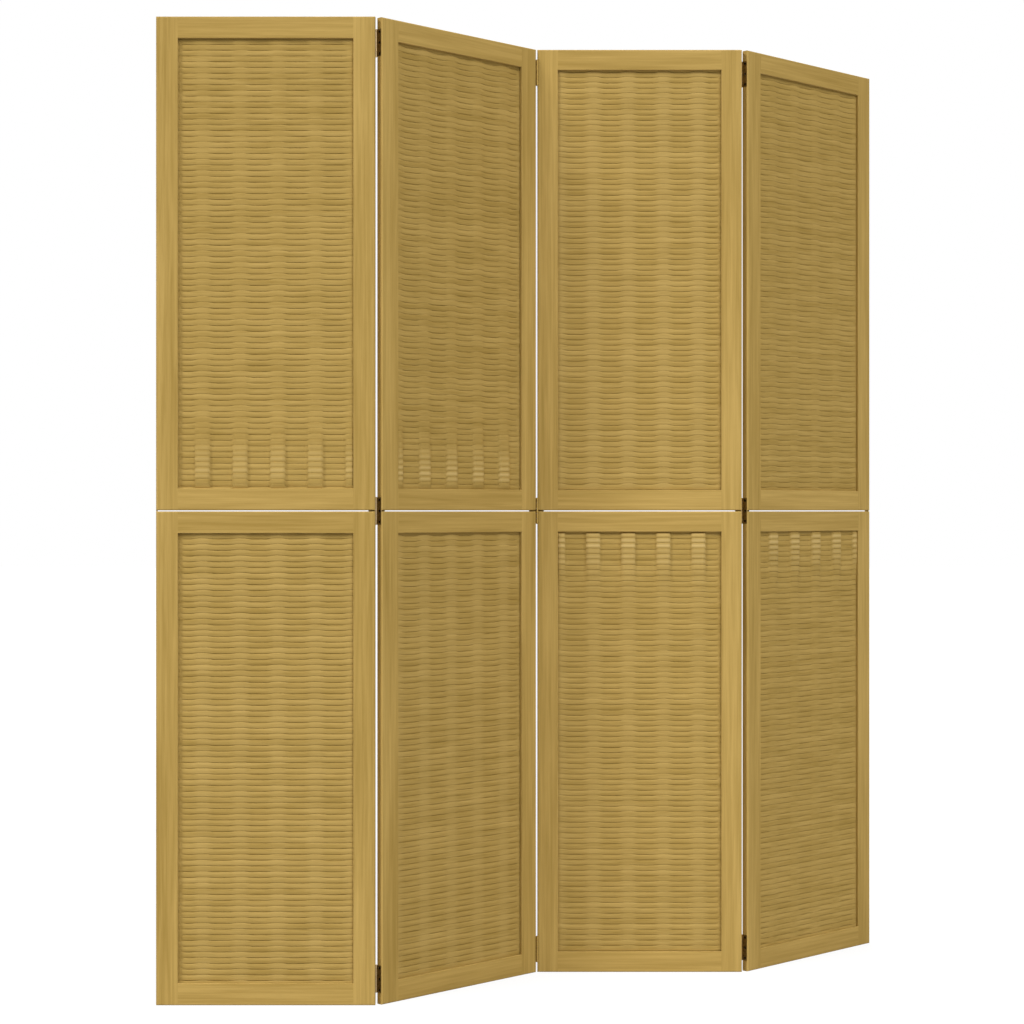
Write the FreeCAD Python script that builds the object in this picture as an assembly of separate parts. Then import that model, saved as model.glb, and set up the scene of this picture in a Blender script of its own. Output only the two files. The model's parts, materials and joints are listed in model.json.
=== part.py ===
import FreeCAD, Part
import os

# A four-leaf folding privacy screen that stands on the floor in a zigzag.
# Each leaf is an upper and a lower half-frame of four wooden members round a slatted infill.
# Neighbouring leaves are joined by three small butt hinges.
# Axes: +Z up, front towards -Y, leaf 1 on the left. Lengths are in millimetres.

V = FreeCAD.Vector

# Driving sizes of the screen
flat_width = 1598.0
screen_height = 1800.0
leaf_count = 4
leaf_gap = 0.6
half_gap = 2.0
leaf_thickness = 15.0
rest_turn = 44.6

# Frame members
stile_width = 40.0
rail_width = 40.0
edge_radius = 2.5
opening_chamfer = 1.0
tenon_thickness = 5.0
tenon_length = 22.0
tenon_outer_shoulder = 6.0
tenon_inner_shoulder = 10.0
tenon_clearance = 0.1
tenon_end_clearance = 1.0
groove_depth = 7.5
groove_clearance = 0.15
infill_end_clearance = 0.5

# Infill: slats on both sides of vertical ribs
slat_rows = 79
slat_thickness = 1.2
slat_row_gap = 2.0
rib_count = 5
rib_width = 27.0
rib_thickness = 2.2
rib_spacing = 68.6
first_rib_offset = 44.2

# Butt hinges, let into the leaves' edges
hinge_height = 50.0
hinge_end_margin = 20.5
plate_width = 12.2
plate_thickness = 0.9
plate_play = 0.3
pocket_clearance = 0.1
knuckle_count = 5
knuckle_radius = 2.2
knuckle_gap = 0.3
knuckle_side_clearance = 0.3
pivot_offset = 2.0
pin_radius = 1.1
pin_clearance = 0.05
pin_head_radius = 1.8
pin_head_height = 0.8

# Countersunk screws
screw_head_radius = 2.5
screw_head_depth = 1.3
screw_shank_radius = 1.1
screw_length = 14.0
screw_tip_length = 2.5
screw_clearance = 0.05
screw_spacing = 20.0
cross_slot_width = 0.6
cross_slot_length = 2.8
cross_slot_depth = 0.7

# Joining plates on the two free edges
joining_plate_height = 60.0
joining_plate_width = 9.0
joining_plate_thickness = 1.5
joining_plate_corner = 2.0
joining_plate_clearance = 0.1
joining_screw_inner = 10.0
joining_screw_outer = 22.0

# How far a cutting shape runs past what it cuts
overrun = 1.0

# A direction counts as lying along an axis when this share of it does
aligned_share = 0.5

leaf_width = (flat_width - (leaf_count - 1) * leaf_gap) / leaf_count
half_height = (screen_height - half_gap) / 2
opening_height = half_height - 2 * rail_width
infill_tuck = groove_depth - infill_end_clearance
infill_thickness = rib_thickness + 2 * slat_thickness
infill_front = (leaf_thickness - infill_thickness) / 2
row_pitch = (opening_height + infill_tuck) / slat_rows
half_starts = {"lower": 0.0, "upper": half_height + half_gap}


def block(x_range, y_range, z_range):
    """A box between pairs of coordinates given in any order."""
    low = V(min(x_range), min(y_range), min(z_range))
    high = V(max(x_range), max(y_range), max(z_range))
    size = high - low
    return Part.makeBox(size.x, size.y, size.z, low)


def rod(radius, start, end):
    """A cylinder from one point to another."""
    along = end - start
    return Part.makeCylinder(radius, along.Length, start, along)


def solid_of(shape):
    """The one solid of a cut or fused shape, with split faces merged."""
    clean = shape.removeSplitter()
    return clean.Solids[0]


# Where each leaf stands

def turned(x, y, angle):
    """A plan point turned about the origin, angle in degrees."""
    return FreeCAD.Rotation(V(0, 0, 1), angle).multVec(V(x, y, 0))


def knuckles_behind(joint):
    """Odd joints fold back to back and even joints fold front to front."""
    return joint % 2 == 1


def pivot_depth(joint):
    """Depth of a joint's hinge axis, measured from the leaf's front face."""
    if knuckles_behind(joint):
        return leaf_thickness + pivot_offset
    return -pivot_offset


def leaf_angle(leaf):
    """Odd leaves face the front, and even leaves are turned back."""
    return 0.0 if leaf % 2 == 1 else rest_turn


def chain_leaves():
    """Front left corner of each leaf and axis of each joint, from the front left corner of leaf 1."""
    corners = {1: V(0, 0, 0)}
    pivots = {}
    for joint in range(1, leaf_count):
        depth = pivot_depth(joint)
        pivots[joint] = corners[joint] + turned(leaf_width + leaf_gap / 2, depth, leaf_angle(joint))
        corners[joint + 1] = pivots[joint] - turned(-leaf_gap / 2, depth, leaf_angle(joint + 1))
    return corners, pivots


leaf_corners, joint_pivots = chain_leaves()


def rounding_centres(leaf):
    """Centres of the roundings at a leaf's four plan corners."""
    left, right = edge_radius, leaf_width - edge_radius
    front, back = edge_radius, leaf_thickness - edge_radius
    places = ((left, front), (right, front), (right, back), (left, back))
    return [leaf_corners[leaf] + turned(x, y, leaf_angle(leaf)) for x, y in places]


all_centres = [centre for leaf in leaf_corners for centre in rounding_centres(leaf)]
plan_middle = V(
    (min(c.x for c in all_centres) + max(c.x for c in all_centres)) / 2,
    (min(c.y for c in all_centres) + max(c.y for c in all_centres)) / 2,
    0,
)


def moved(shape, place, angle):
    """A copy of a shape turned about Z through the origin, then moved."""
    copy = shape.copy()
    move = FreeCAD.Placement(place, FreeCAD.Rotation(V(0, 0, 1), angle))
    copy.Placement = move.multiply(copy.Placement)
    return copy


def placed(shape, origin, angle):
    """A copy of a shape in its place in the standing screen."""
    return moved(shape, origin - plan_middle, angle)


def on_leaf(shape, leaf):
    return placed(shape, leaf_corners[leaf], leaf_angle(leaf))


# Screws, built pointing along +X with the head's face at the origin

def screw_outline(grow):
    """Half outline of a screw, grown all round by a clearance."""
    head = screw_head_radius + grow
    shank = screw_shank_radius + grow
    end = screw_length + grow
    return [
        V(0, 0, 0),
        V(0, head, 0),
        V(screw_head_depth, shank, 0),
        V(end - screw_tip_length, shank, 0),
        V(end, 0, 0),
        V(0, 0, 0),
    ]


def screw_body(grow=0.0):
    profile = Part.Face(Part.makePolygon(screw_outline(grow)))
    return profile.revolve(V(0, 0, 0), V(1, 0, 0), 360)


def screw():
    """A countersunk screw with a cross slot."""
    half_width = cross_slot_width / 2
    half_length = cross_slot_length / 2
    body = screw_body()
    depth = (-overrun, cross_slot_depth)
    upright = block(depth, (-half_width, half_width), (-half_length, half_length))
    level = block(depth, (-half_length, half_length), (-half_width, half_width))
    return solid_of(body.cut(upright.fuse(level)))


def screw_hole():
    """The space that a screw needs, open past its head."""
    mouth = rod(screw_head_radius + screw_clearance, V(-overrun, 0, 0), V(0, 0, 0))
    return screw_body(screw_clearance).fuse(mouth)


def aimed(shape, side, x, y, z):
    """A screw shape at a place on a leaf: side 1 enters towards +X, side -1 towards -X."""
    return moved(shape, V(x, y, z), 0 if side > 0 else 180)


# Hinges

def hinge_heights():
    """Heights of the middles of a joint's three hinges."""
    end_distance = hinge_end_margin + hinge_height / 2
    return (end_distance, screen_height / 2, screen_height - end_distance)


def hinge_screw_heights():
    """Heights of the nine screws of one hinged edge."""
    return [middle + step * screw_spacing for middle in hinge_heights() for step in (-1, 0, 1)]


def knuckle_span(index):
    """Lowest and highest point of a knuckle, measured from the hinge's middle."""
    pitch = hinge_height / knuckle_count
    low = -hinge_height / 2 + index * pitch
    return low + knuckle_gap / 2, low + pitch - knuckle_gap / 2


def knuckle_stack_end():
    """How far the outer end of the last knuckle lies from the hinge's middle."""
    return knuckle_span(knuckle_count - 1)[1]


def hinge_plate(side, behind):
    """One plate of a hinge about its axis: side -1 is the left leaf's plate, side 1 the right leaf's."""
    back = 1 if behind else -1
    first_own = 0 if side < 0 else 1
    free_face = side * plate_play / 2
    wood_face = free_face + side * plate_thickness
    plate = block(
        (wood_face, free_face),
        (0, -back * (pivot_offset + plate_width)),
        (-hinge_height / 2, hinge_height / 2),
    )
    reach = knuckle_radius + knuckle_side_clearance
    for index in range(knuckle_count):
        low, high = knuckle_span(index)
        if index % 2 == first_own:
            plate = plate.fuse(rod(knuckle_radius, V(0, 0, low), V(0, 0, high)))
        else:
            plate = plate.cut(rod(reach, V(0, 0, low - knuckle_gap), V(0, 0, high + knuckle_gap)))
    for end in (-1, 1):
        seat = V(0, 0, end * knuckle_stack_end())
        beyond = V(0, 0, end * (hinge_height / 2 + overrun))
        plate = plate.cut(rod(reach, seat, beyond))
    bore_reach = hinge_height / 2 + overrun
    bore = rod(pin_radius + pin_clearance, V(0, 0, -bore_reach), V(0, 0, bore_reach))
    plate = plate.cut(bore)
    for step in (-1, 0, 1):
        hole = aimed(screw_hole(), side, free_face, screw_line(behind), step * screw_spacing)
        plate = plate.cut(hole)
    return solid_of(plate)


def screw_line(behind):
    """Depth of the hinge screws from the hinge's axis: they enter the middle of the leaf's thickness."""
    distance = pivot_offset + leaf_thickness / 2
    return -distance if behind else distance


def hinge_pin():
    """A pin with a low head at each end that rests on the end knuckles."""
    seat = knuckle_stack_end()
    pin = rod(pin_radius, V(0, 0, -seat), V(0, 0, seat))
    upper = rod(pin_head_radius, V(0, 0, seat), V(0, 0, seat + pin_head_height))
    lower = rod(pin_head_radius, V(0, 0, -seat - pin_head_height), V(0, 0, -seat))
    return solid_of(pin.fuse([upper, lower]))


def at_hinges(shape, joint, angle):
    """Copies of a hinge piece at the three hinge heights of a joint."""
    copies = []
    for height in hinge_heights():
        copies.append(placed(shape, joint_pivots[joint] + V(0, 0, height), angle))
    return copies


# What is fastened to the two edges of a leaf

def is_free_edge(leaf, side):
    """True for the left edge of the first leaf and the right edge of the last."""
    return (side > 0 and leaf == 1) or (side < 0 and leaf == leaf_count)


def edge_face(side):
    """Where an edge lies across the leaf: side 1 is the left edge, which screws enter towards +X."""
    return 0.0 if side > 0 else leaf_width


def edge_joint(leaf, side):
    """The joint that a hinged edge belongs to."""
    return leaf - 1 if side > 0 else leaf


def edge_screw_places(leaf, side):
    """Where the screw heads lie on one edge of a leaf."""
    if is_free_edge(leaf, side):
        middle = screen_height / 2
        places = (joining_screw_inner, joining_screw_outer)
        offsets = [sign * place for sign in (-1, 1) for place in places]
        return [(edge_face(side), leaf_thickness / 2, middle + offset) for offset in offsets]
    joint = edge_joint(leaf, side)
    x = edge_face(side) - side * (leaf_gap - plate_play) / 2
    y = pivot_depth(joint) + screw_line(knuckles_behind(joint))
    return [(x, y, height) for height in hinge_screw_heights()]


def joining_plate(grow=0.0):
    """The plate that ties a leaf's halves on its free edge, let into the edge at the origin along +X."""
    half_width = joining_plate_width / 2 + grow
    half_length = joining_plate_height / 2 + grow
    plate = block((0, joining_plate_thickness), (-half_width, half_width), (-half_length, half_length))
    across = [edge for edge in plate.Edges if abs(edge.tangentAt(edge.FirstParameter).x) > aligned_share]
    return plate.makeFillet(joining_plate_corner + grow, across)


def joining_plate_on(side, shape):
    return aimed(shape, side, edge_face(side), leaf_thickness / 2, screen_height / 2)


def hinge_pocket(leaf, side, height):
    """The recess in a leaf's edge that takes a hinge plate, open towards the knuckles."""
    joint = edge_joint(leaf, side)
    inward = -1 if knuckles_behind(joint) else 1
    mouth = pivot_depth(joint)
    end = mouth + inward * (pivot_offset + plate_width + pocket_clearance)
    let_in = plate_thickness - (leaf_gap - plate_play) / 2
    face = edge_face(side)
    reach = hinge_height / 2 + pocket_clearance
    return block(
        (face - side * overrun, face + side * let_in),
        (mouth, end),
        (height - reach, height + reach),
    )


def edge_cuts(leaf, side):
    """Screw holes and plate pockets that are cut into one edge of a leaf."""
    cuts = [aimed(screw_hole(), side, *place) for place in edge_screw_places(leaf, side)]
    if is_free_edge(leaf, side):
        cuts.append(joining_plate_on(side, joining_plate(joining_plate_clearance)))
    else:
        cuts += [hinge_pocket(leaf, side, height) for height in hinge_heights()]
    return cuts


# Frame members of one half, built with the half's lowest point at height 0

def half_blank():
    """A slab of the half's outer size with rounded front and back edges."""
    slab = Part.makeBox(leaf_width, leaf_thickness, half_height)
    faces = [face for face in slab.Faces if abs(face.normalAt(0, 0).y) > aligned_share]
    edges = [edge for face in faces for edge in face.Edges]
    return slab.makeFillet(edge_radius, edges)


def opening_cuts():
    """The chamfers round the opening on both faces, and the groove that holds the infill."""
    left, right = stile_width, leaf_width - stile_width
    low, high = rail_width, half_height - rail_width
    flare = opening_chamfer + overrun
    front = Part.makeWedge(
        left - flare, -overrun, low - flare, low, left,
        right + flare, opening_chamfer, high + flare, high, right,
    )
    back = front.mirror(V(0, leaf_thickness / 2, 0), V(0, 1, 0))
    groove = block(
        (left - groove_depth, right + groove_depth),
        (infill_front - groove_clearance, infill_front + infill_thickness + groove_clearance),
        (low - groove_depth, high + groove_depth),
    )
    return front.fuse([back, groove])


def tenon(side, low_rail, grow=0.0, end_grow=0.0):
    """A rail's tenon, or with a clearance the mortise that takes it."""
    shoulder = stile_width if side > 0 else leaf_width - stile_width
    tip = shoulder - side * (tenon_length + end_grow)
    low = tenon_outer_shoulder - grow
    high = rail_width - tenon_inner_shoulder + grow
    if not low_rail:
        low, high = half_height - high, half_height - low
    middle = leaf_thickness / 2
    half_thickness = tenon_thickness / 2 + grow
    return block((shoulder, tip), (middle - half_thickness, middle + half_thickness), (low, high))


def stile(leaf, side, start):
    """A full-height stile; side 1 is the left stile."""
    across = (0, stile_width) if side > 0 else (leaf_width - stile_width, leaf_width)
    region = block(across, (0, leaf_thickness), (0, half_height))
    body = half_blank().common(region).cut(opening_cuts())
    for low_rail in (True, False):
        body = body.cut(tenon(side, low_rail, tenon_clearance, tenon_end_clearance))
    body.translate(V(0, 0, start))
    for cutter in edge_cuts(leaf, side):
        if cutter.BoundBox.ZMin < start + half_height and cutter.BoundBox.ZMax > start:
            body = body.cut(cutter)
    return solid_of(body)


def rail(low_rail, start):
    """A rail between the stiles with a tenon at each end."""
    height = (0, rail_width) if low_rail else (half_height - rail_width, half_height)
    region = block((stile_width, leaf_width - stile_width), (0, leaf_thickness), height)
    body = half_blank().common(region).cut(opening_cuts())
    body = body.fuse([tenon(1, low_rail), tenon(-1, low_rail)])
    body.translate(V(0, 0, start))
    return solid_of(body)


# Infill of one half

def is_mirrored(leaf):
    """The two middle leaves have their ribs laid out from the right."""
    return 1 < leaf < leaf_count


def infill_sides():
    """Left and right end of the infill in its grooves."""
    return stile_width - infill_tuck, leaf_width - stile_width + infill_tuck


def slats(start):
    """Rows of slats before and behind the ribs, the rear rows half a row higher."""
    left, right = infill_sides()
    top = start + half_height - rail_width
    rear = infill_front + slat_thickness + rib_thickness
    rows = []
    for depth, lift in ((infill_front, 0.0), (rear, row_pitch / 2)):
        for row in range(slat_rows):
            high = top + lift - row * row_pitch - slat_row_gap / 2
            low = high - (row_pitch - slat_row_gap)
            rows.append(block((left, right), (depth, depth + slat_thickness), (low, high)))
    return rows


def ribs(leaf, start):
    """Upright flat ribs between the two layers of slats."""
    left, right = infill_sides()
    low = start + rail_width - infill_tuck
    high = start + half_height - rail_width + infill_tuck
    depth = infill_front + slat_thickness
    pieces = []
    for index in range(rib_count):
        middle = stile_width + first_rib_offset + index * rib_spacing
        edges = [max(left, middle - rib_width / 2), min(right, middle + rib_width / 2)]
        if is_mirrored(leaf):
            edges = [leaf_width - edge for edge in edges]
        pieces.append(block(edges, (depth, depth + rib_thickness), (low, high)))
    return pieces


# All nodes by name, each a list of placed solids

def frame_nodes(leaf):
    nodes = {}
    for half, start in half_starts.items():
        name = f"leaf_{leaf}_{half}"
        nodes[name + "_left_stile"] = [on_leaf(stile(leaf, 1, start), leaf)]
        nodes[name + "_right_stile"] = [on_leaf(stile(leaf, -1, start), leaf)]
        nodes[name + "_top_rail"] = [on_leaf(rail(False, start), leaf)]
        nodes[name + "_bottom_rail"] = [on_leaf(rail(True, start), leaf)]
    return nodes


def infill_nodes(leaf):
    nodes = {}
    rib_pieces = []
    for half, start in half_starts.items():
        nodes[f"leaf_{leaf}_{half}_slats"] = [on_leaf(piece, leaf) for piece in slats(start)]
        rib_pieces += [on_leaf(piece, leaf) for piece in ribs(leaf, start)]
    nodes[f"leaf_{leaf}_ribs"] = rib_pieces
    return nodes


def hardware_nodes(leaf):
    """Screws of both edges and, on an outer leaf, the joining plate."""
    nodes = {}
    one_screw = screw()
    screws = []
    for side in (1, -1):
        places = edge_screw_places(leaf, side)
        screws += [on_leaf(aimed(one_screw, side, *place), leaf) for place in places]
        if is_free_edge(leaf, side):
            plate = joining_plate_on(side, joining_plate())
            for place in places:
                plate = plate.cut(aimed(screw_hole(), side, *place))
            nodes[f"leaf_{leaf}_joining_plate"] = [on_leaf(solid_of(plate), leaf)]
    nodes[f"leaf_{leaf}_screws"] = screws
    return nodes


def hinge_nodes(joint):
    behind = knuckles_behind(joint)
    left = at_hinges(hinge_plate(-1, behind), joint, leaf_angle(joint))
    right = at_hinges(hinge_plate(1, behind), joint, leaf_angle(joint + 1))
    pins = at_hinges(hinge_pin(), joint, leaf_angle(joint))
    name = f"hinge_{joint}"
    return {name + "_left_plates": left, name + "_right_plates": right, name + "_pins": pins}


def write_node(name, solids):
    shape = solids[0] if len(solids) == 1 else Part.makeCompound(solids)
    shape.exportStep(os.path.join("parts", name + ".step"))


def build():
    nodes = {}
    for leaf in range(1, leaf_count + 1):
        nodes.update(frame_nodes(leaf))
        nodes.update(infill_nodes(leaf))
        nodes.update(hardware_nodes(leaf))
    for joint in range(1, leaf_count):
        nodes.update(hinge_nodes(joint))
    os.makedirs("parts", exist_ok=True)
    for name, solids in nodes.items():
        write_node(name, solids)
    print(len(nodes), "nodes,", sum(len(solids) for solids in nodes.values()), "solids")
    for joint, pivot in joint_pivots.items():
        axis_place = pivot - plan_middle
        print("joint", joint, "axis at", round(axis_place.x, 4), round(axis_place.y, 4))
    for leaf in leaf_corners:
        foot = leaf_corners[leaf] + turned(leaf_width / 2, leaf_thickness / 2, leaf_angle(leaf))
        foot = foot - plan_middle
        print("leaf", leaf, "foot at", round(foot.x, 4), round(foot.y, 4))


build()
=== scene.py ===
import json
import math

import bpy
import numpy as np
from mathutils import Matrix, Vector


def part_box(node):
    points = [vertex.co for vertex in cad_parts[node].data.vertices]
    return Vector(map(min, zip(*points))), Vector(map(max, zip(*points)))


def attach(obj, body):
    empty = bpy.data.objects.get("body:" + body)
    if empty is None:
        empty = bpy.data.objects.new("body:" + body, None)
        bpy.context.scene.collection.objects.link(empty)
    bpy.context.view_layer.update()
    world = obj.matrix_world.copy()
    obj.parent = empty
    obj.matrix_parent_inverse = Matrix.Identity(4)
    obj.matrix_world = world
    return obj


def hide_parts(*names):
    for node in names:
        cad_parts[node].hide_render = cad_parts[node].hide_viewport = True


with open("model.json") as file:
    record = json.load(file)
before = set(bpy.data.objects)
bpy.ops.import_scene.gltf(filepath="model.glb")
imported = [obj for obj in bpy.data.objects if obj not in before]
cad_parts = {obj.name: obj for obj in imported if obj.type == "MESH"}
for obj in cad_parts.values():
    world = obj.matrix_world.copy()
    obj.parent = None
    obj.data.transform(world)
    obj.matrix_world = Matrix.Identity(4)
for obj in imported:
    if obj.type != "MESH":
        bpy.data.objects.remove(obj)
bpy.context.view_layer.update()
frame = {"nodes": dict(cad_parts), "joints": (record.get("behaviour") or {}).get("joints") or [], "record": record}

# The looks of a four-leaf folding screen with woven panels. Lengths are in metres.

MM = 0.001

# The screen, as the frame gives it
LEAVES = (1, 2, 3, 4)
left_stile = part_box("leaf_1_upper_left_stile")
right_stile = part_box("leaf_1_upper_right_stile")
top_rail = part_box("leaf_1_upper_top_rail")
bottom_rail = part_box("leaf_1_upper_bottom_rail")
slat_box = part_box("leaf_1_upper_slats")
rib_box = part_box("leaf_1_ribs")
opening_width = right_stile[0].x - left_stile[1].x
opening_height = top_rail[0].z - bottom_rail[1].z
screen_height = top_rail[1].z
infill_tuck = left_stile[1].x - slat_box[0].x
slat_face_depth = (slat_box[1].y - slat_box[0].y) / 2

# A joint's lower limit lays its two leaves in line, so it gives their turn at rest
rest_turn = -frame["joints"][0]["range_deg"][0]

# How each leaf is turned against leaf 1: back to front, upside down, or both
LEAF_FLIPS = {1: (1, 1, 1), 2: (-1, -1, 1), 3: (-1, 1, -1), 4: (1, -1, -1)}

# The weave of one panel
ROWS = 79
RIB_COUNT = 5
RIB_WIDTH = 27.0 * MM
RIB_SPACING = 68.6 * MM
STRIP_THICKNESS = 1.0 * MM
EDGE_ROUNDING = 0.18 * MM
OPEN_GAP = 0.62 * MM
OPEN_GAP_SPREAD = 0.38 * MM
LOOSE_RIB_GAP = 0.18 * MM
CLOSED_GAP = 0.05 * MM
END_GAP = 0.12 * MM
FLAT_CROWN = 0.56 * MM
RIB_CROWN = 0.32 * MM
END_CROWN = 0.55 * MM
FLAT_DIP = 0.7 * MM
FLAT_DIP_SPREAD = 0.25 * MM
RIB_BULGE = 0.7 * MM
END_BULGE = 3.6 * MM
SIDE_SINK = 0.9 * MM
ROW_WANDER = 0.10 * MM
WIDTH_WANDER = 0.08 * MM
SOFT_REACH = 9.0 * MM
SHARP_REACH = 1.2 * MM
FRAME_CLEARANCE = 0.3 * MM
SIDE_RUN_IN = 2.5 * MM
SIDE_SLOPE = 16.0 * MM
END_RUN_IN = 4.0 * MM
STATIONS_BETWEEN_RIBS = 5
SEEDS_PER_LEAF = 10
row_pitch = (opening_height + infill_tuck) / ROWS
first_rib = rib_box[0].x + RIB_WIDTH / 2 - left_stile[1].x - opening_width / 2

# Lengths of the waves in which the strips' gaps, heights, widths and dips wander, and the waves' own
# least and most size
GAP_WAVES = (0.11, 0.17)
HEIGHT_WAVES = (0.09, 0.21, 0.4)
WIDTH_WAVES = (0.03, 0.07)
DIP_WAVES = (0.13, 0.19)
WAVE_SIZE_SHARES = (0.3, 1.0)

# Shares of a strip's half height at which its front face has points, and where its back face ends
FRONT_SHARES = (1.0, 0.84, 0.0, -0.84, -1.0)
BACK_SHARES = (-0.94, 0.94)

# Shares of a panel's height between which its weave grows tight, and its strips' painted highlight grows and then
# fades
TIGHT_SHARES = (0.82, 0.955)
HIGHLIGHT_START_SHARES = (0.885, 0.97)
HIGHLIGHT_STOP_SHARES = {1: (0.96, 0.99), 2: (0.975, 0.995), 3: (0.99, 1.0), 4: (0.99, 1.0)}

# How far the strips of each leaf climb over the ribs, as shares of the pitch: in a panel with a tight end at
# its far end, its middle and its tight end, and in the other panel beside the slit and at its far end
TIGHT_CLIMB_SHARES = {
    1: (0.0, 0.17, 0.37),
    2: (0.14, 0.22, 0.44),
    3: (0.12, 0.20, 0.28),
    4: (0.0, 0.12, 0.40),
}
LOOSE_CLIMB_SHARES = {1: (0.16, 0.11), 2: (0.22, 0.09), 3: (0.26, 0.20), 4: (0.15, 0.12)}

# Shares of a panel's height between which the climb changes
MIDDLE_CLIMB_REACH_SHARES = (0.0, 0.55)
END_CLIMB_REACH_SHARES = (0.80, 1.0)
LOOSE_CLIMB_REACH_SHARES = (0.25, 0.6)

# How strongly the strips of each leaf are painted pale over every rib, a painted highlight where they stand out,
# in its panel with a tight end and in the other
RIB_HIGHLIGHT_SHARES = {1: (0.02, 0.10), 2: (0.02, 0.11), 3: (0.10, 0.14), 4: (0.0, 0.0)}

# The least and most painted highlight on their crests near a tight end
END_HIGHLIGHT_SHARES = (0.25, 1.0)

# How much narrower the gaps between the strips are at a tight end
PRESSED_SHARE = 0.45

# Share of the strips' unevenness in width that the ribs take away
STEADY_SHARE = 0.7

# How wide the gaps between the strips are in each leaf, against leaf 1, and in a panel without a tight end
# also how open, rounded and crowned the strips are over the ribs
OPEN_GAP_SHARES = {1: 1.0, 2: 0.7, 3: 0.75, 4: 0.65}
RIB_SEAM_SHARES = {1: 1.0, 2: 0.2, 3: 0.4, 4: 0.4}

# Colours of the wood, the strips, the ribs, the brass and the screws
WOOD_DARK = (0.375, 0.241, 0.057)
WOOD_LIGHT = (0.545, 0.364, 0.107)
WOOD_WORN = (0.560, 0.385, 0.130)
WOOD_PORE = (0.290, 0.175, 0.040)
STRIP_DARK = (0.350, 0.227, 0.053)
STRIP_LIGHT = (0.500, 0.337, 0.100)
STRIP_FIBRE = (0.270, 0.167, 0.036)
# Pale colour of the painted highlight on the strips where they stand out over the ribs and on their crests near a
# tight end
STRIP_HIGHLIGHT = (0.640, 0.460, 0.180)
RIB_DARK = (0.300, 0.190, 0.055)
RIB_LIGHT = (0.400, 0.262, 0.085)
BRASS_DARK = (0.160, 0.105, 0.032)
BRASS_LIGHT = (0.480, 0.330, 0.110)
# Pale brass for the knuckles and edges of the first and third hinges: partly wear, partly a painted highlight
# standing in for light they catch
BRASS_WORN_AND_HIGHLIGHT = (0.680, 0.540, 0.340)
BRASS_DULL = (0.400, 0.265, 0.070)
SCREW_DARK = (0.010, 0.007, 0.005)
SCREW_LIGHT = (0.045, 0.032, 0.020)
SCREW_WORN = (0.160, 0.115, 0.060)

# Noises of wood: features per metre across and along the grain, detail, roughness and distortion
BROAD_NOISE = (22.0, 1.6, 3.0, 0.55, 0.0)
STREAK_NOISE = (190.0, 5.0, 6.0, 0.62, 0.25)
PORE_NOISE = (900.0, 26.0, 3.0, 0.55, 0.0)

# Other noises: features per metre along, across and up the leaf, detail, roughness and distortion
WEAR_NOISE = (60.0, 60.0, 60.0, 4.0, 0.55, 0.0)
FIBRE_NOISE = (14.0, 700.0, 700.0, 5.0, 0.6, 0.0)
PATCH_NOISE = (9.0, 60.0, 95.0, 3.0, 0.55, 0.0)
BLOTCH_NOISE = (260.0, 260.0, 260.0, 5.0, 0.55, 0.0)
SCRATCH_NOISE = (2400.0, 2400.0, 180.0, 3.0, 0.55, 0.0)

# Shares in which two noises are added to give a material's tone
WOOD_TONE_SHARES = (0.5, 0.5)
STRIP_TONE_SHARES = (0.5, 0.5)
METAL_TONE_SHARES = (0.7, 0.3)

# Ranges: what lies between the first two values is spread between the last two
WOOD_TONE_RANGE = (0.37, 0.63, 0.0, 1.0)
PORE_RANGE = (0.62, 0.78, 0.0, 0.35)
EDGE_RANGE = (0.99, 0.75, 0.0, 1.0)
WEAR_RANGE = (0.42, 0.62, 0.15, 0.75)
WOOD_ROUGHNESS_RANGE = (0.3, 0.7, 0.52, 0.66)
STRIP_TONE_RANGE = (0.34, 0.66, 0.0, 1.0)
FIBRE_RANGE = (0.60, 0.80, 0.0, 0.4)
STRIP_ROUGHNESS_RANGE = (0.3, 0.7, 0.62, 0.78)
METAL_TONE_RANGE = (0.36, 0.66, 0.0, 1.0)
OFF_PLATE_RANGE = (0.97, 0.80, 0.0, 0.8)
METAL_WEAR_RANGE = (0.3, 0.6, 0.6, 1.0)
BRASS_ROUGHNESS_RANGE = (0.3, 0.7, 0.55, 0.32)
SCREW_ROUGHNESS_RANGE = (0.3, 0.7, 0.55, 0.35)

# How much of the wear shows on wood, how much a strip's own tone counts, and how far the pores sink
WEAR_SHARE = 0.5
OWN_TONE_SHARE = 0.035
PORE_SINK_SHARE = -0.6

# Shine of wood and strips, and the strength and depth of each material's bumps
WOOD_SHINE = 0.10
STRIP_SHINE = 0.08
WOOD_BUMP = (0.35, 0.25 * MM)
STRIP_BUMP = (0.5, 0.2 * MM)
METAL_BUMP = (0.25, 0.05 * MM)

# The stage: a pale floor that the camera sees as nearly white, and a sky that it sees as plain white
WHITE = (1.0, 1.0, 1.0)
PALE = (0.42, 0.42, 0.42)
FLOOR_REACH = 30.0
FLOOR_ROUGHNESS = 0.9
FLOOR_GLOW = 1.26
WHITE_SHARE = 0.7
SKY_STRENGTH = 0.18
SKY_RANGE = (0.0, 1.0, SKY_STRENGTH, 1.0)

# Each lamp: strength, height angle, angle to the left of the front, and angular size
KEY_LAMP = (2.16, 45.0, -28.0, 40.0)
SIDE_LAMP = (1.62, 37.0, 54.0, 15.0)
BACK_LAMP = (1.30, 50.0, 170.0, 40.0)

# The camera, fitted to the photograph
CAMERA_DISTANCE = 3954.7 * MM
CAMERA_FROM_LEFT = 648.0 * MM
CAMERA_LENS = 76.41
CAMERA_SENSOR = 36.0
CAMERA_SHIFT_UP = -0.0011

# Places of the colour sockets among a Mix node's inputs and outputs
MIX_FIRST = 6
MIX_SECOND = 7
MIX_RESULT = 2


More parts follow.
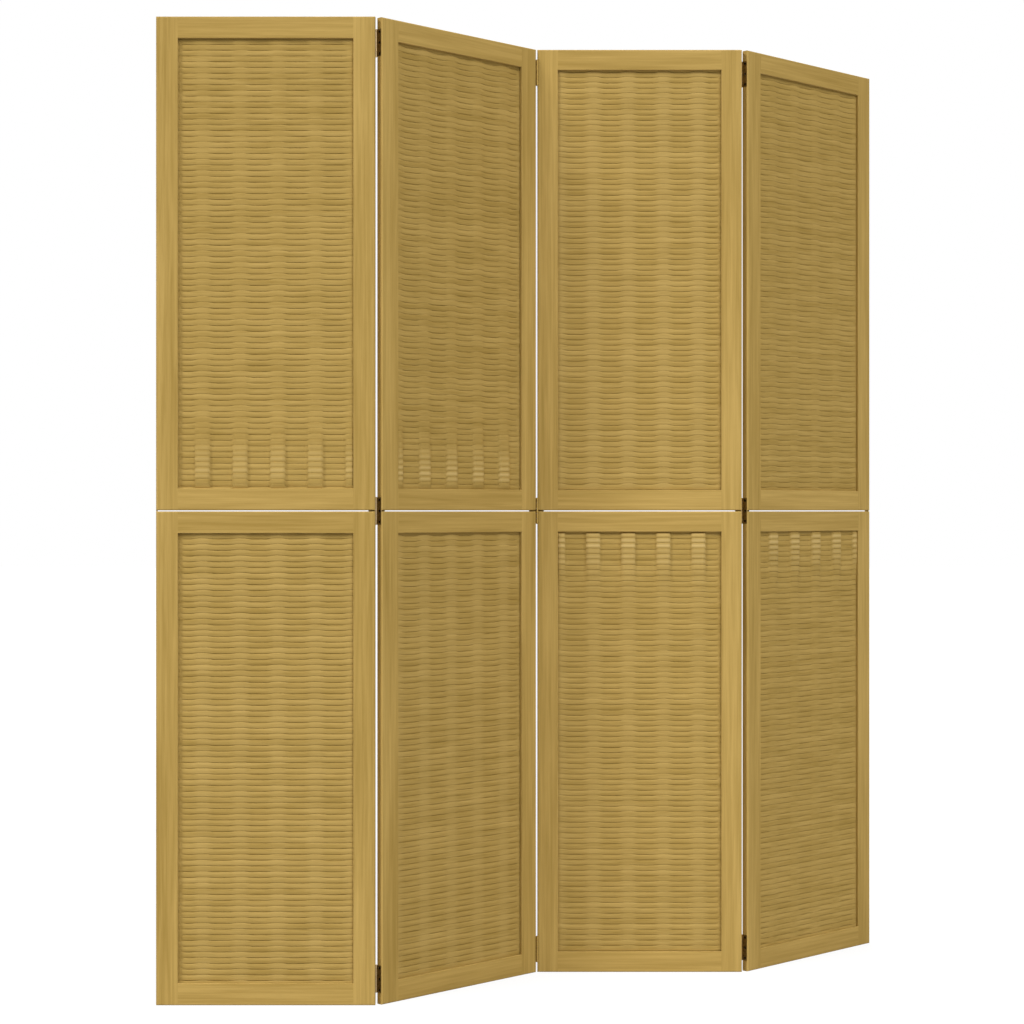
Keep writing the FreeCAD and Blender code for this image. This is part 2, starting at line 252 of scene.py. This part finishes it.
def smoothstep(values, low, high):
    """Rises smoothly from 0 to 1 as the values go from low to high."""
    share = np.clip((values - low) / (high - low), 0.0, 1.0)
    return share * share * (3.0 - 2.0 * share)


def leaf_turn(leaf):
    """Angle of a leaf in plan: odd leaves face the front."""
    return 0.0 if leaf % 2 else math.radians(rest_turn)


def leaf_place(leaf):
    """A leaf's own frame, x to the right along it and y to its back, from its middle at floor level."""
    mounts = frame["record"]["mounts"]
    foot = next(mount["pos_m"] for mount in mounts if mount["name"] == f"leaf_{leaf}_foot")
    return Matrix.Translation(foot) @ Matrix.Rotation(leaf_turn(leaf), 4, "Z")


# Weave

def rib_middles():
    """Places of the ribs along a panel, from its middle."""
    return [first_rib + index * RIB_SPACING for index in range(RIB_COUNT)]


def strip_stations():
    """Places along a strip that catch its steps at the ribs and its bends between them."""
    side = opening_width / 2
    end = side + infill_tuck
    stations = [side - SIDE_RUN_IN, side - FRAME_CLEARANCE, end]
    stations += [-place for place in stations]
    half = RIB_WIDTH / 2
    beside = [half / 2, half - SHARP_REACH, half + SHARP_REACH]
    on_rib = [0.0] + beside + [-place for place in beside]
    step = (RIB_SPACING - RIB_WIDTH - 2 * SHARP_REACH) / (STATIONS_BETWEEN_RIBS + 1)
    for middle in [rib_middles()[0] - RIB_SPACING] + rib_middles():
        stations += [middle + place for place in on_rib]
        start = middle + half + SHARP_REACH
        stations += [start + step * (number + 1) for number in range(STATIONS_BETWEEN_RIBS)]
    return np.array(sorted(place for place in set(stations) if abs(place) <= end))


def rib_nearness(x, reach):
    """1 over a rib, falling to 0 within a reach outside its edges."""
    distance = np.min([np.abs(x - middle) for middle in rib_middles()], axis=0)
    return 1.0 - smoothstep(distance, RIB_WIDTH / 2 - reach, RIB_WIDTH / 2 + reach)


def end_strength(along, has_end):
    """How far the weave is pushed apart, growing towards the tight end of a panel that has one."""
    return smoothstep(along, *TIGHT_SHARES) if has_end else np.zeros_like(along)


def row_climb(along, leaf, has_end):
    """How far a strip climbs over the ribs; along runs from 0 to 1 down the panel as it is made."""
    if has_end:
        far, middle, end = TIGHT_CLIMB_SHARES[leaf]
        to_middle = (middle - far) * smoothstep(along, *MIDDLE_CLIMB_REACH_SHARES)
        share = far + to_middle + (end - middle) * smoothstep(along, *END_CLIMB_REACH_SHARES)
    else:
        near, far = LOOSE_CLIMB_SHARES[leaf]
        share = near + (far - near) * smoothstep(along, *LOOSE_CLIMB_REACH_SHARES)
    upright = LEAF_FLIPS[leaf][2]
    return share * row_pitch * upright


def waves(rng, x, lengths):
    """Smooth random waves along each row, about 1 high."""
    total = np.zeros((ROWS, x.size))
    for length in lengths:
        phase = rng.uniform(0.0, 2 * math.pi, (ROWS, 1))
        size = rng.uniform(*WAVE_SIZE_SHARES, (ROWS, 1))
        total += size * np.sin(2 * math.pi * x / length + phase)
    return total / len(lengths)


def painted_highlights(rng, along, leaf, has_end):
    """A painted highlight where the strips stand out over the ribs: all over, and on their crests."""
    near_end = smoothstep(along, *HIGHLIGHT_START_SHARES) * (1.0 - smoothstep(along, *HIGHLIGHT_STOP_SHARES[leaf]))
    tight_highlight, loose_highlight = RIB_HIGHLIGHT_SHARES[leaf]
    if has_end:
        return tight_highlight, near_end * rng.uniform(*END_HIGHLIGHT_SHARES, along.shape)
    return loose_highlight, np.zeros_like(along)


def hold_ends(centre, half, climb):
    """Widens the first and last strip, so that no climb draws their outer edges out of the frame."""
    first_sinks = np.minimum(climb[0], 0.0) / 2
    last_climbs = np.maximum(climb[-1], 0.0) / 2
    centre[0] -= first_sinks
    half[0] -= first_sinks
    centre[-1] -= last_climbs
    half[-1] += last_climbs


class StripLayer:
    """One layer of strips of a panel, worked out as arrays of rows by stations along the strips."""

    def __init__(self, rng, leaf, has_end, back):
        self.rng = rng
        self.leaf = leaf
        self.has_end = has_end
        self.outward = 1.0 if back else -1.0
        self.x = strip_stations()[None, :]
        lift = row_pitch / 2 if back else 0.0
        self.middle = (opening_height / 2 + lift - (np.arange(ROWS) + 0.5) * row_pitch)[:, None]
        self.along = np.clip(0.5 - self.middle / opening_height, 0.0, 1.0)
        self.tight = end_strength(self.along, has_end)
        soft = rib_nearness(self.x, SOFT_REACH)
        sharp = rib_nearness(self.x, SHARP_REACH)
        self.over_rib = soft + (sharp - soft) * self.tight
        self.seam_share = 0.0 if has_end else RIB_SEAM_SHARES[leaf]

    def gap(self):
        """The gap between neighbouring strips, open between the ribs and nearly closed over them."""
        spread = OPEN_GAP + OPEN_GAP_SPREAD * waves(self.rng, self.x, GAP_WAVES)
        open_gap = OPEN_GAP_SHARES[self.leaf] * spread * (1.0 - PRESSED_SHARE * self.tight)
        at_end = (END_GAP - CLOSED_GAP) * self.tight
        closed_gap = CLOSED_GAP + at_end + (LOOSE_RIB_GAP - CLOSED_GAP) * self.seam_share
        return open_gap + (closed_gap - open_gap) * self.over_rib

    def heights(self):
        """The middle and the half height of each strip."""
        gap = self.gap()
        climb = row_climb(self.along, self.leaf, self.has_end) * self.over_rib
        centre = self.middle + climb + ROW_WANDER * waves(self.rng, self.x, HEIGHT_WAVES)
        steady = 1.0 - STEADY_SHARE * self.over_rib
        half = (row_pitch - gap) / 2 + WIDTH_WANDER * steady * waves(self.rng, self.x, WIDTH_WAVES)
        hold_ends(centre, half, climb)
        return centre, half

    def crown(self):
        """How far a strip's face is rounded out."""
        rib_crown = RIB_CROWN if self.has_end else RIB_CROWN * self.seam_share
        change = rib_crown + (END_CROWN - rib_crown) * self.tight - FLAT_CROWN
        return FLAT_CROWN + change * self.over_rib

    def stand(self, height, dip):
        """How far a face stands out from the flat infill at a height, and how clear of the frame it is."""
        to_side = opening_width / 2 - np.abs(self.x)
        to_end = opening_height / 2 - np.abs(height)
        free = smoothstep(to_side, FRAME_CLEARANCE, SIDE_RUN_IN)
        free = free * smoothstep(to_end, FRAME_CLEARANCE, END_RUN_IN)
        bulge = self.over_rib * (RIB_BULGE + (END_BULGE - RIB_BULGE) * self.tight)
        sink = SIDE_SINK * (1.0 - smoothstep(to_side, FRAME_CLEARANCE, SIDE_SLOPE)) * (1.0 - self.over_rib)
        return (bulge - dip) * free - sink, free

    def points(self):
        """Points of the layer, as rows by stations by ring."""
        centre, half = self.heights()
        dip = (1.0 - self.over_rib) * (FLAT_DIP + FLAT_DIP_SPREAD * waves(self.rng, self.x, DIP_WAVES))
        crown = self.crown()
        rounded = EDGE_ROUNDING * (1.0 - self.over_rib * (1.0 - self.seam_share))
        face = slat_face_depth - FLAT_CROWN
        rings = []
        for share in FRONT_SHARES:
            height = centre + share * half
            stand, free = self.stand(height, dip)
            rounding = rounded if abs(share) == 1.0 else 0.0
            depth = face + stand + crown * free * (1.0 - share * share) - rounding
            rings.append((height, depth))
        for share in BACK_SHARES:
            height = centre + share * half
            stand, _ = self.stand(height, dip)
            rings.append((height, face + stand - STRIP_THICKNESS))
        length = np.broadcast_to(self.x, centre.shape)
        places = [np.stack([length, self.outward * depth, height], -1) for height, depth in rings]
        return np.stack(places, 2)

    def paint(self):
        """A tone for every strip, and its painted highlight at every point."""
        tone = self.rng.uniform(-1.0, 1.0, ROWS)
        all_over, on_crest = painted_highlights(self.rng, self.along, self.leaf, self.has_end)
        # Painted highlight brightest in the middle of each strip's face, where its crest would catch the light
        crest = (1.0 - np.square(FRONT_SHARES + BACK_SHARES)) ** 2
        painted_highlight = self.over_rib[:, :, None] * (all_over + on_crest[:, :, None] * crest)
        return {"tone": np.broadcast_to(tone[:, None, None], painted_highlight.shape), "painted_highlight": painted_highlight}


def layer_faces(rows, stations, ring, first, turned_over):
    """Quads round each strip and a cap at both its ends, numbered from first."""
    index = first + np.arange(rows * stations * ring).reshape(rows, stations, ring)
    after = np.roll(index, -1, axis=2)
    quads = np.stack([index[:, :-1], index[:, 1:], after[:, 1:], after[:, :-1]], -1).reshape(-1, 4)
    caps = np.concatenate([index[:, 0, ::-1], index[:, -1, :]])
    if turned_over:
        quads = quads[:, ::-1]
        caps = caps[:, ::-1]
    smooth = np.zeros((rows, stations - 1, ring), bool)
    smooth[:, :, :len(FRONT_SHARES) - 1] = True
    return quads.tolist(), caps.tolist(), smooth.reshape(-1).tolist()


def weave_mesh(name, leaf, has_end):
    """Both layers of strips of one panel, centred on its opening."""
    rng = np.random.default_rng(leaf * SEEDS_PER_LEAF + has_end)
    points, faces, smooth, caps = [], [], [], []
    painted = {"tone": [], "painted_highlight": []}
    first = 0
    for back in (False, True):
        layer = StripLayer(rng, leaf, has_end, back)
        grid = layer.points()
        rows, stations, ring, _ = grid.shape
        quads, ends, is_smooth = layer_faces(rows, stations, ring, first, back)
        points.append(grid.reshape(-1, 3))
        for kind, values in layer.paint().items():
            painted[kind].append(values.reshape(-1))
        faces += quads
        smooth += is_smooth
        caps += ends
        first += rows * stations * ring
    mesh = bpy.data.meshes.new(name)
    mesh.from_pydata(np.concatenate(points).tolist(), [], faces + caps)
    mesh.polygons.foreach_set("use_smooth", smooth + [False] * len(caps))
    for kind, values in painted.items():
        attribute = mesh.attributes.new(kind, "FLOAT", "POINT")
        attribute.data.foreach_set("value", np.concatenate(values).astype(np.float32))
    mesh.update()
    return mesh


def panel_matrix(leaf, half):
    """Places a panel made about its own middle into its half of a leaf."""
    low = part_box(f"leaf_{leaf}_{half}_bottom_rail")[1].z
    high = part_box(f"leaf_{leaf}_{half}_top_rail")[0].z
    flip = Matrix.Diagonal((*LEAF_FLIPS[leaf], 1.0))
    return leaf_place(leaf) @ Matrix.Translation((0.0, 0.0, (low + high) / 2)) @ flip


def add_weave(leaf, half, material):
    """Puts the woven strips of one panel in the place of its flat slats."""
    upside_down = LEAF_FLIPS[leaf][2] < 0
    has_end = (half == "upper") != upside_down
    name = f"leaf_{leaf}_{half}_weave"
    mesh = weave_mesh(name, leaf, has_end)
    mesh.transform(panel_matrix(leaf, half))
    mesh.materials.append(material)
    piece = bpy.data.objects.new(name, mesh)
    bpy.context.scene.collection.objects.link(piece)
    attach(piece, f"leaf_{leaf}")
    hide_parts(f"leaf_{leaf}_{half}_slats")


# Materials

class Nodes:
    """A short way to build the nodes of a material or of the world."""

    def __init__(self, owner):
        owner.use_nodes = True
        self.tree = owner.node_tree

    def feed(self, socket, value):
        """Links an input to another node's output, or sets it to a number, a vector or a colour."""
        if isinstance(value, bpy.types.NodeSocket):
            self.tree.links.new(value, socket)
        elif socket.type == "RGBA":
            socket.default_value = (*value, 1.0)
        else:
            socket.default_value = value

    def add(self, kind, inputs=None, **settings):
        """A node with its settings, and what goes into its inputs."""
        node = self.tree.nodes.new(kind)
        for key, value in settings.items():
            setattr(node, key, value)
        for key, value in (inputs or {}).items():
            self.feed(node.inputs[key], value)
        return node

    def math(self, operation, first, second):
        """What an operation makes of two values."""
        return self.add("ShaderNodeMath", {0: first, 1: second}, operation=operation).outputs[0]

    def weigh(self, first, second, shares):
        """The sum of two values in given shares."""
        first = self.math("MULTIPLY", first, shares[0])
        second = self.math("MULTIPLY", second, shares[1])
        return self.math("ADD", first, second)

    def mix(self, share, first, second):
        """A mix of two colours."""
        inputs = {0: share, MIX_FIRST: first, MIX_SECOND: second}
        return self.add("ShaderNodeMix", inputs, data_type="RGBA").outputs[MIX_RESULT]

    def spread(self, value, limits):
        """A value spread from the first two limits to the last two."""
        from_low, from_high, to_low, to_high = limits
        inputs = {"From Min": from_low, "From Max": from_high, "To Min": to_low, "To Max": to_high}
        return self.add("ShaderNodeMapRange", {"Value": value, **inputs}).outputs["Result"]

    def seen_directly(self):
        """1 for camera, glossy and transmission rays, else 0."""
        path = self.add("ShaderNodeLightPath")
        seen = path.outputs["Is Camera Ray"]
        for kind in ("Is Glossy Ray", "Is Transmission Ray"):
            seen = self.math("MAXIMUM", seen, path.outputs[kind])
        return seen


class Looks(Nodes):
    """The nodes of a new material for a leaf that is turned by an angle."""

    def __init__(self, name, turn=0.0):
        self.material = bpy.data.materials.new(name)
        super().__init__(self.material)
        self.shader = self.tree.nodes["Principled BSDF"]
        self.turn = turn

    def shade(self, inputs):
        """Sets the shader's inputs."""
        for key, value in inputs.items():
            self.feed(self.shader.inputs[key], value)

    def place(self):
        """Places on the object, turned so that x runs along the leaf."""
        source = self.add("ShaderNodeTexCoord").outputs["Object"]
        inputs = {"Vector": source, "Rotation": (0.0, 0.0, -self.turn)}
        return self.add("ShaderNodeMapping", inputs, vector_type="POINT").outputs["Vector"]

    def noise(self, place, noise):
        """Noise with its features per metre along each axis, its detail, roughness and distortion."""
        *scale, detail, roughness, distortion = noise
        inputs = {"Vector": place, "Scale": scale}
        stretched = self.add("ShaderNodeMapping", inputs, vector_type="POINT").outputs["Vector"]
        inputs = {"Vector": stretched, "Scale": 1.0}
        inputs |= {"Detail": detail, "Roughness": roughness, "Distortion": distortion}
        return self.add("ShaderNodeTexNoise", inputs).outputs["Fac"]

    def attribute(self, name):
        """What the strips' points were painted with under a name."""
        return self.add("ShaderNodeAttribute", attribute_name=name).outputs["Fac"]

    def bump(self, height, strength, distance):
        """Small bumps of a strength and depth that follow a height."""
        inputs = {"Height": height, "Strength": strength, "Distance": distance}
        self.shade({"Normal": self.add("ShaderNodeBump", inputs).outputs["Normal"]})

    def facing(self):
        """How squarely a face looks along, across and up the leaf, each from 0 to 1."""
        source = self.add("ShaderNodeTexCoord").outputs["Normal"]
        inputs = {"Vector": source, "Angle": -self.turn}
        turned = self.add("ShaderNodeVectorRotate", inputs, rotation_type="Z_AXIS").outputs["Vector"]
        parts = self.add("ShaderNodeSeparateXYZ", {"Vector": turned})
        return [self.math("ABSOLUTE", part, 0.0) for part in parts.outputs]

    def edge_mask(self):
        """Near 1 where a face is oblique to the leaf, as on its rounded and chamfered edges."""
        along, across, up = self.facing()
        most = self.math("MAXIMUM", self.math("MAXIMUM", along, across), up)
        return self.spread(most, EDGE_RANGE)


def along_grain(noise, upright):
    """A noise of wood, turned so that its grain runs up a stile or along a rail."""
    across, along, *rest = noise
    scale = (across, across, along) if upright else (along, across, across)
    return (*scale, *rest)


def wood_material(name, turn, upright, dark, light):
    """Satin wood with its grain along the member: upright for stiles, across for rails."""
    looks = Looks(name, turn)
    place = looks.place()
    broad = looks.noise(place, along_grain(BROAD_NOISE, upright))
    streaks = looks.noise(place, along_grain(STREAK_NOISE, upright))
    pores = looks.noise(place, along_grain(PORE_NOISE, upright))
    tone = looks.weigh(broad, streaks, WOOD_TONE_SHARES)
    colour = looks.mix(looks.spread(tone, WOOD_TONE_RANGE), dark, light)
    colour = looks.mix(looks.spread(pores, PORE_RANGE), colour, WOOD_PORE)
    patchy = looks.spread(looks.noise(place, WEAR_NOISE), WEAR_RANGE)
    wear = looks.math("MULTIPLY", looks.edge_mask(), patchy)
    colour = looks.mix(looks.math("MULTIPLY", wear, WEAR_SHARE), colour, WOOD_WORN)
    roughness = looks.spread(streaks, WOOD_ROUGHNESS_RANGE)
    looks.shade({"Base Color": colour, "Roughness": roughness, "Specular IOR Level": WOOD_SHINE})
    height = looks.math("ADD", streaks, looks.math("MULTIPLY", pores, PORE_SINK_SHARE))
    looks.bump(height, *WOOD_BUMP)
    return looks.material


def strip_material(name, turn):
    """Thin split strips: long fibres, a tone of its own for every strip, and a painted highlight where they stand
    out.
    """
    looks = Looks(name, turn)
    place = looks.place()
    fibres = looks.noise(place, FIBRE_NOISE)
    patches = looks.noise(place, PATCH_NOISE)
    own_tone = looks.math("MULTIPLY", looks.attribute("tone"), OWN_TONE_SHARE)
    tone = looks.math("ADD", looks.weigh(fibres, patches, STRIP_TONE_SHARES), own_tone)
    colour = looks.mix(looks.spread(tone, STRIP_TONE_RANGE), STRIP_DARK, STRIP_LIGHT)
    colour = looks.mix(looks.spread(fibres, FIBRE_RANGE), colour, STRIP_FIBRE)
    # Painted highlight: the strips are mixed towards a pale colour over the ribs and on their crests near a tight
    # end
    colour = looks.mix(looks.attribute("painted_highlight"), colour, STRIP_HIGHLIGHT)
    roughness = looks.spread(fibres, STRIP_ROUGHNESS_RANGE)
    looks.shade({"Base Color": colour, "Roughness": roughness, "Specular IOR Level": STRIP_SHINE})
    looks.bump(fibres, *STRIP_BUMP)
    return looks.material


def metal_material(name, turn, dark, light, worn_and_lit, roughness_range):
    """Aged metal: blotches of patina with fine scratches, worn on its knuckles and edges, where on the first and
    third hinges the pale colour is also a painted highlight.
    """
    looks = Looks(name, turn)
    place = looks.place()
    blotches = looks.noise(place, BLOTCH_NOISE)
    scratches = looks.noise(place, SCRATCH_NOISE)
    tone = looks.weigh(blotches, scratches, METAL_TONE_SHARES)
    colour = looks.mix(looks.spread(tone, METAL_TONE_RANGE), dark, light)
    off_plate = looks.spread(looks.facing()[0], OFF_PLATE_RANGE)
    wear = looks.math("MULTIPLY", off_plate, looks.spread(blotches, METAL_WEAR_RANGE))
    colour = looks.mix(wear, colour, worn_and_lit)
    roughness = looks.spread(blotches, roughness_range)
    looks.shade({"Base Color": colour, "Roughness": roughness, "Metallic": 1.0})
    looks.bump(scratches, *METAL_BUMP)
    return looks.material


def brass_material(name, leaf, worn_and_lit):
    """Aged brass on a leaf's edge."""
    return metal_material(name, leaf_turn(leaf), BRASS_DARK, BRASS_LIGHT, worn_and_lit, BRASS_ROUGHNESS_RANGE)


def bronze_material(name, leaf):
    """Dark bronze for a leaf's screws."""
    return metal_material(name, leaf_turn(leaf), SCREW_DARK, SCREW_LIGHT, SCREW_WORN, SCREW_ROUGHNESS_RANGE)


def dress(node_name, material):
    """Gives a node of the frame its material."""
    for slot in frame["nodes"][node_name].material_slots:
        slot.material = material


def dress_leaf(leaf):
    """Gives a leaf's members, ribs and weave their materials."""
    turn = leaf_turn(leaf)
    stile_wood = wood_material(f"stile_wood_{leaf}", turn, True, WOOD_DARK, WOOD_LIGHT)
    rail_wood = wood_material(f"rail_wood_{leaf}", turn, False, WOOD_DARK, WOOD_LIGHT)
    rib_wood = wood_material(f"rib_wood_{leaf}", turn, True, RIB_DARK, RIB_LIGHT)
    strips = strip_material(f"strips_{leaf}", turn)
    for half in ("lower", "upper"):
        for side in ("left", "right"):
            dress(f"leaf_{leaf}_{half}_{side}_stile", stile_wood)
        for end in ("top", "bottom"):
            dress(f"leaf_{leaf}_{half}_{end}_rail", rail_wood)
        add_weave(leaf, half, strips)
    dress(f"leaf_{leaf}_ribs", rib_wood)


def dress_fasteners(leaf):
    """Gives a leaf's screws, and its joining plate if it has one, their metal."""
    dress(f"leaf_{leaf}_screws", bronze_material(f"dark_bronze_{leaf}", leaf))
    plate = f"leaf_{leaf}_joining_plate"
    if plate in frame["nodes"]:
        dress(plate, brass_material(f"plate_brass_{leaf}", leaf, BRASS_DULL))


def dress_hinge(number):
    """Gives a joint's hinges their brass: on the first and third joints their knuckles and edges are painted pale
    where they stand out to the front, part wear and part painted highlight, and on the second they take the duller
    worn colour.
    """
    # The first and third hinges get the pale colour, a painted highlight on their knuckles as well as wear
    worn_and_lit = BRASS_WORN_AND_HIGHLIGHT if number % 2 else BRASS_DULL
    left = brass_material(f"hinge_brass_{number}_left", number, worn_and_lit)
    dress(f"hinge_{number}_left_plates", left)
    dress(f"hinge_{number}_pins", left)
    dress(f"hinge_{number}_right_plates", brass_material(f"hinge_brass_{number}_right", number + 1, worn_and_lit))


# Stage, light and camera

def add_world():
    """Even white light, and plain white where the camera sees it."""
    world = bpy.data.worlds.new("studio")
    nodes = Nodes(world)
    background = nodes.tree.nodes["Background"]
    nodes.feed(background.inputs["Color"], WHITE)
    nodes.feed(background.inputs["Strength"], nodes.spread(nodes.seen_directly(), SKY_RANGE))
    bpy.context.scene.world = world


def floor_material():
    """Pale, and nearly white to the camera, with the shadows kept."""
    looks = Looks("pale_floor")
    looks.shade({"Base Color": PALE, "Roughness": FLOOR_ROUGHNESS})
    glow = looks.add("ShaderNodeEmission", {"Color": WHITE, "Strength": FLOOR_GLOW})
    share = looks.math("MULTIPLY", looks.seen_directly(), WHITE_SHARE)
    inputs = {0: share, 1: looks.shader.outputs[0], 2: glow.outputs[0]}
    mixed = looks.add("ShaderNodeMixShader", inputs)
    looks.feed(looks.tree.nodes["Material Output"].inputs["Surface"], mixed.outputs[0])
    return looks.material


def add_floor():
    """A pale floor that keeps a soft shadow of the screen and meets the white background."""
    mesh = bpy.data.meshes.new("floor")
    reach = FLOOR_REACH
    corners = [(-reach, -reach, 0.0), (reach, -reach, 0.0), (reach, reach, 0.0), (-reach, reach, 0.0)]
    mesh.from_pydata(corners, [], [(0, 1, 2, 3)])
    mesh.materials.append(floor_material())
    floor = bpy.data.objects.new("floor", mesh)
    bpy.context.scene.collection.objects.link(floor)


def add_lamp(name, strength, tilt, side, softness):
    """A broad soft light; tilt is its height angle and side its angle to the left of the front."""
    light = bpy.data.lights.new(name, "SUN")
    light.energy = strength
    light.angle = math.radians(softness)
    lamp = bpy.data.objects.new(name, light)
    tilt = math.radians(tilt)
    side = math.radians(side)
    towards = Vector((-math.sin(side) * math.cos(tilt), -math.cos(side) * math.cos(tilt), math.sin(tilt)))
    lamp.rotation_euler = towards.to_track_quat("Z", "Y").to_euler()
    bpy.context.scene.collection.objects.link(lamp)


def add_camera():
    """A level camera at half the screen's height."""
    camera = bpy.data.cameras.new("camera")
    camera.sensor_width = CAMERA_SENSOR
    camera.lens = CAMERA_LENS
    camera.shift_y = CAMERA_SHIFT_UP
    eye = bpy.data.objects.new("camera", camera)
    front_left = left_stile[0]
    eye.location = (front_left.x + CAMERA_FROM_LEFT, front_left.y - CAMERA_DISTANCE, screen_height / 2)
    eye.rotation_euler = (math.pi / 2, 0.0, 0.0)
    bpy.context.scene.collection.objects.link(eye)
    bpy.context.scene.camera = eye


add_camera()
add_world()
add_floor()
add_lamp("key", *KEY_LAMP)
add_lamp("side", *SIDE_LAMP)
add_lamp("back", *BACK_LAMP)
for number in LEAVES:
    dress_leaf(number)
    dress_fasteners(number)
for number in LEAVES[:-1]:
    dress_hinge(number)
bpy.context.scene.view_settings.view_transform = "Standard"
